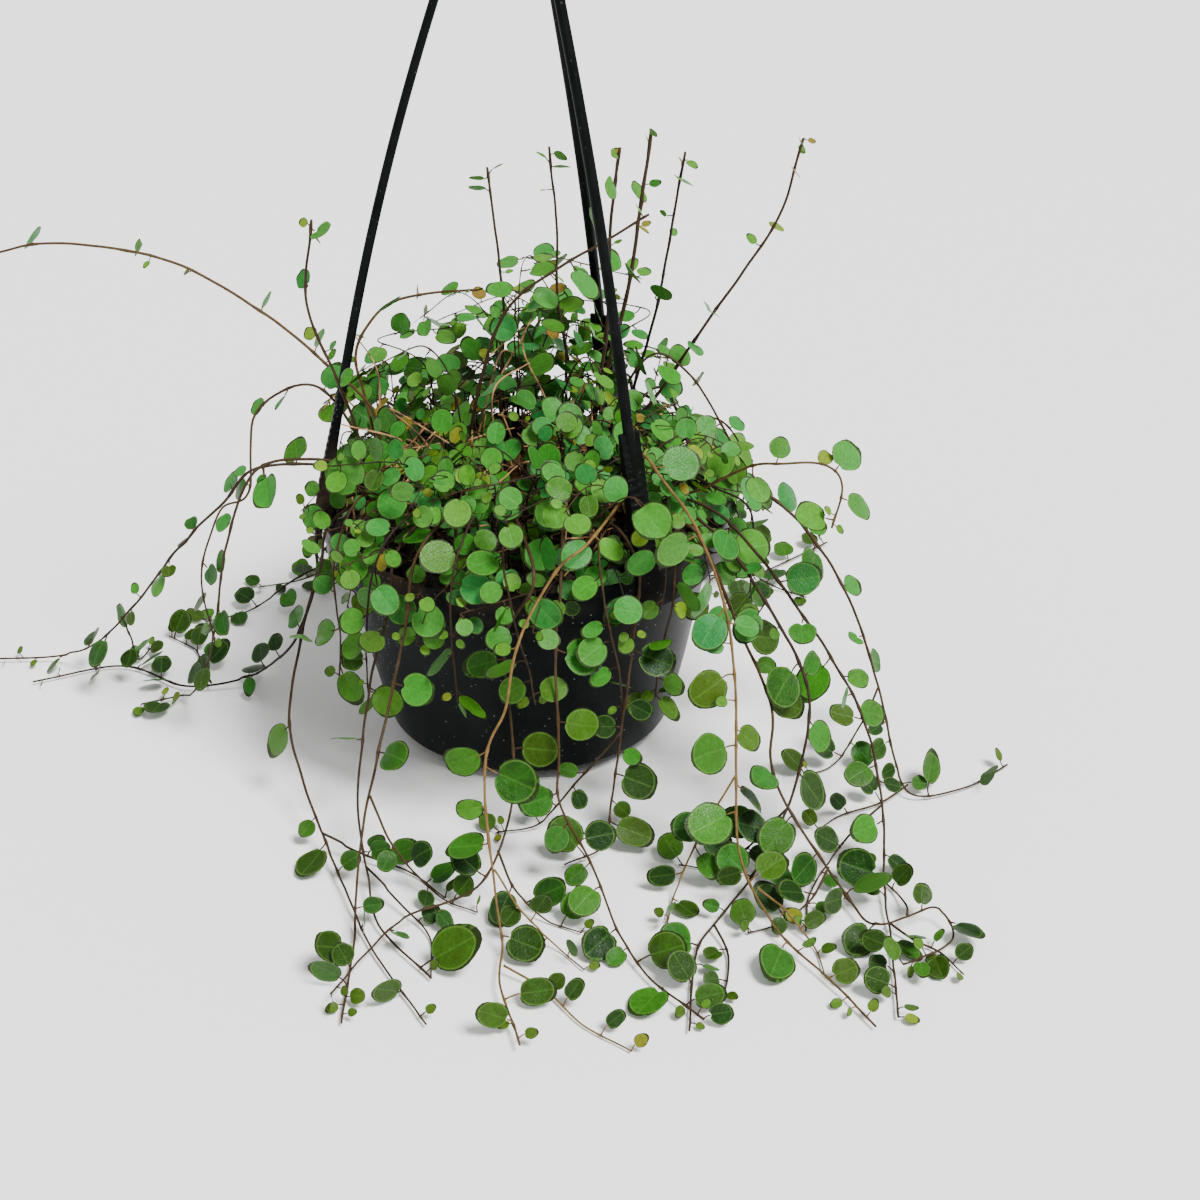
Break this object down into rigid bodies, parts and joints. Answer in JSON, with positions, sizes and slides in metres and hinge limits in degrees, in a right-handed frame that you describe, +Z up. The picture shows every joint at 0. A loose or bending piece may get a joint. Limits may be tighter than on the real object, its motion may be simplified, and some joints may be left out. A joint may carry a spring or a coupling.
{
  "type": "wire vine in a hanging pot",
  "caption": "A wire vine with thin wiry stems and small round leaves, growing in a plastic hanging pot with a strap hanger, its long stems trailing over the rim and along the surface.",
  "frame": {"origin": "The centre of the pot's flat base, on the surface that the pot stands on.", "axes": "+Z is up along the pot's axis, from the base to the hook. -Y is the side that the picture was taken from and +X is its right."},
  "size_m": [0.5257, 0.5007, 0.4799],
  "materials": {
    "pot_plastic": "satin moulded plastic, near black, dusty at the rim",
    "hanger_plastic": "moulded black plastic",
    "potting_soil": "crumbly brown potting mix",
    "vine_green": "soft waxy mid green leaves on dark reddish brown wiry stems",
    "vine_young": "yellow green young leaves on golden tan wiry stems"
  },
  "bodies": {
    "root": {"arch_crown_right": "vine_green", "arch_golden": "vine_young", "arch_right": "vine_young", "arch_tan": "vine_young", "cascade_01": "vine_green", "cascade_02": "vine_green", "cascade_03": "vine_green", "cascade_04": "vine_green", "cascade_05": "vine_green", "cascade_06": "vine_green", "cascade_07": "vine_green", "cascade_08": "vine_green", "cascade_09": "vine_green", "cascade_10": "vine_green", "crown_01": "vine_green", "crown_02": "vine_green", "crown_03": "vine_green", "crown_04": "vine_green", "crown_05": "vine_green", "crown_06": "vine_green", "crown_07": "vine_green", "crown_08": "vine_green", "crown_09": "vine_green", "crown_10": "vine_green", "crown_11": "vine_green", "crown_12": "vine_green", "drop_left_a": "vine_green", "drop_left_b": "vine_green", "hanger": "hanger_plastic", "pot": "pot_plastic", "soil": "potting_soil", "trail_back_1": "vine_green", "trail_back_2": "vine_green", "trail_back_3": "vine_green", "trail_back_4": "vine_green", "trail_back_5": "vine_green", "trail_back_6": "vine_green", "trail_back_7": "vine_green", "trail_front_a": "vine_green", "trail_front_b": "vine_green", "trail_front_c": "vine_green", "trail_front_d": "vine_green", "trail_front_e": "vine_green", "trail_front_left": "vine_green", "trail_left_far": "vine_green", "trail_left_near": "vine_green", "trail_right_a": "vine_green", "trail_right_b": "vine_green", "trail_right_c": "vine_green", "trail_right_d": "vine_young", "whip_back": "vine_green", "whip_back_left": "vine_green", "whip_back_right": "vine_green", "whip_inward": "vine_green", "whip_left": "vine_young", "whip_left_inward": "vine_young", "whip_left_upright": "vine_green", "whip_middle": "vine_green", "whip_right_tall": "vine_green", "whip_woody": "vine_green"}
  },
  "joints": []
}
